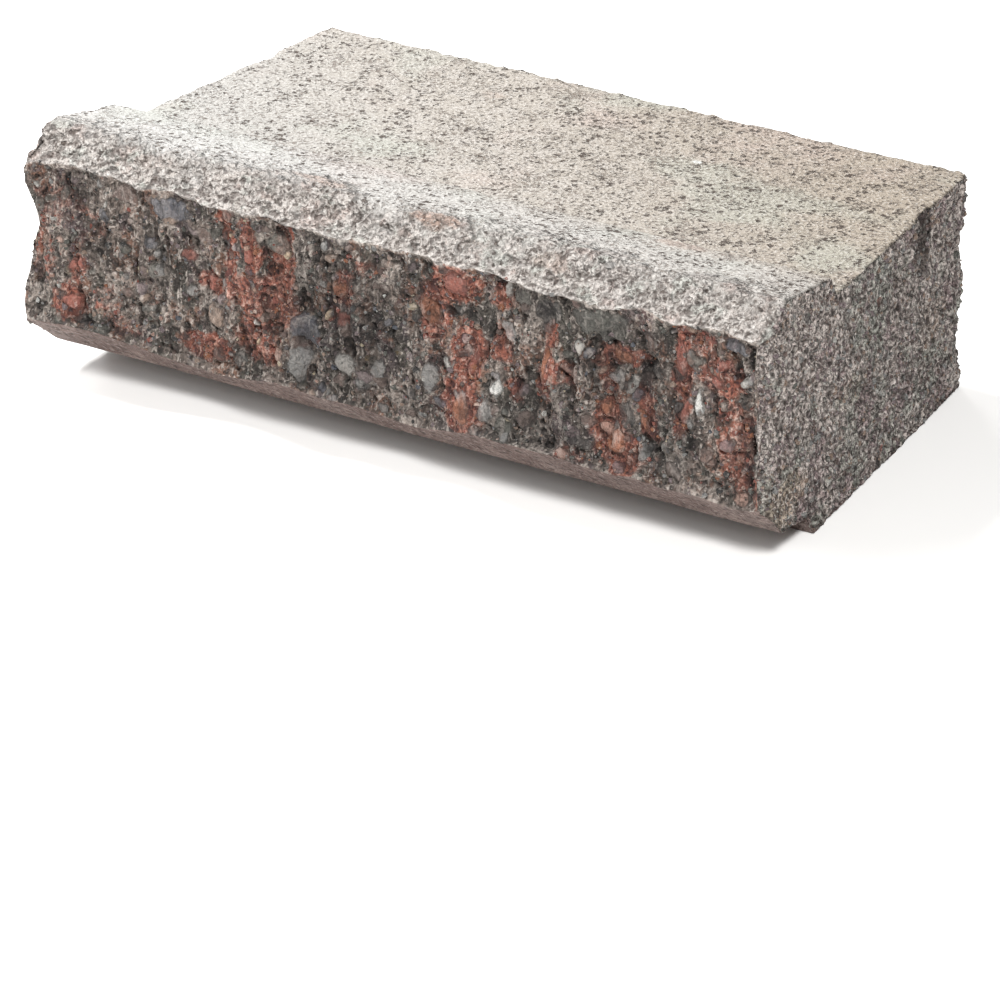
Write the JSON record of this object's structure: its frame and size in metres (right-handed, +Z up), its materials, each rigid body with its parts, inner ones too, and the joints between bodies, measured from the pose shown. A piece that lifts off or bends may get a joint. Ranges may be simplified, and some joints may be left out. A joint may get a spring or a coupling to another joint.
{
  "type": "retaining wall block",
  "caption": "Split-faced concrete block for a dry-laid garden retaining wall, with a raised front lip and an underside rebate that set each course back.",
  "frame": {"origin": "middle of the block's box, on the floor that the lower bed rests on", "axes": "+X along the split face, to the right seen from the front; +Y from the split face to the back; +Z up"},
  "size_m": [0.367, 0.209, 0.1175],
  "materials": {
    "cast_concrete": "dry-cast concrete, rough, charcoal and rust-red, pale dust on the top"
  },
  "bodies": {
    "root": {"block": "cast_concrete"}
  },
  "joints": []
}
